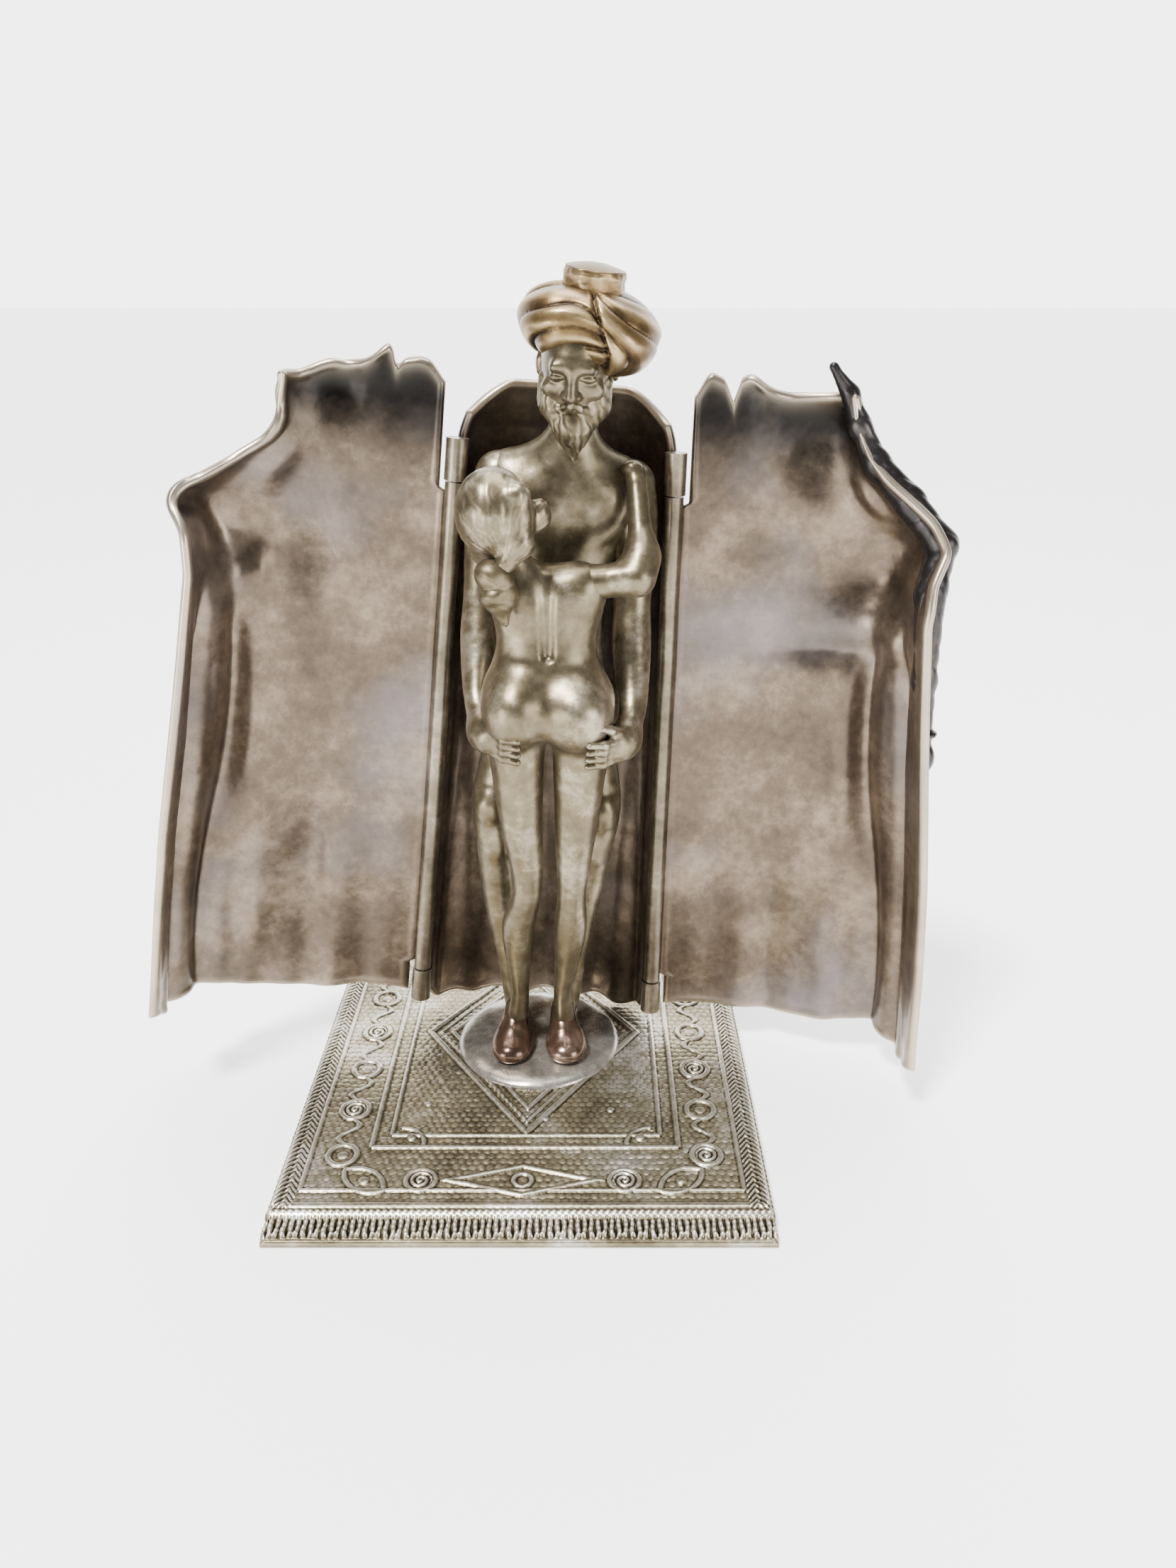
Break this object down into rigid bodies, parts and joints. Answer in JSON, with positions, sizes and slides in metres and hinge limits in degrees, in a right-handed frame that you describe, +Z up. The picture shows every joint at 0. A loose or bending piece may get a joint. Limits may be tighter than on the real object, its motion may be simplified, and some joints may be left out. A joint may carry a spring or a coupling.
{
  "type": "bronze statuette",
  "caption": "Standing turbaned figure embraced by a second figure on a small rug base, inside a cloak whose two front flaps swing open on pinned hinges.",
  "frame": {"origin": "centre of the flat underside of the rug base", "axes": "+Z up, -Y out of the front where the cloak opens, +X to the viewer's right; the flaps stand open at rest"},
  "size_m": [0.1769, 0.135, 0.1817],
  "materials": {
    "rug_bronze": "satin, worn silvery highlights",
    "silvered_bronze": "polished by wear",
    "dark_lacquer": "dark glossy patina",
    "screw_steel": "satin",
    "figure_bronze": "olive patina, satin",
    "hair_bronze": "darker olive patina",
    "turban_bronze": "golden brown patina",
    "cloak_bronze": "dark brown patina with gold rims",
    "hinge_bronze": "satin, rubbed bright"
  },
  "bodies": {
    "statuette": {"rug_base": "rug_bronze", "foot_mound": "silvered_bronze", "slippers": "dark_lacquer", "base_screws": "screw_steel", "man_body": "figure_bronze", "man_left_arm": "figure_bronze", "man_right_arm": "figure_bronze", "man_head": "figure_bronze", "beard": "hair_bronze", "turban": "turban_bronze", "turban_cap": "turban_bronze", "woman_body": "figure_bronze", "woman_head": "figure_bronze", "hair_bun": "hair_bronze", "woman_left_arm": "figure_bronze", "woman_right_arm": "figure_bronze", "cloak_back": "cloak_bronze", "back_screws": "screw_steel", "knuckles_upper": "hinge_bronze", "knuckles_lower": "hinge_bronze", "hinge_pins": "screw_steel"},
    "left_flap": {"flap_left": "cloak_bronze", "barrel_left": "hinge_bronze"},
    "right_flap": {"flap_right": "cloak_bronze", "barrel_right": "hinge_bronze", "sleeve": "turban_bronze"}
  },
  "joints": [
    {"name": "left_flap_hinge", "type": "hinge", "parent": "statuette", "child": "left_flap", "pos_m": [-0.02079, 0.003, 0.08055], "axis": [0.1137, 0, 0.9935], "range_deg": [-10, 90]},
    {"name": "right_flap_hinge", "type": "hinge", "parent": "statuette", "child": "right_flap", "pos_m": [0.0308, 0.003, 0.07712], "axis": [-0.0187, 0, -0.9998], "range_deg": [-10, 90]}
  ]
}
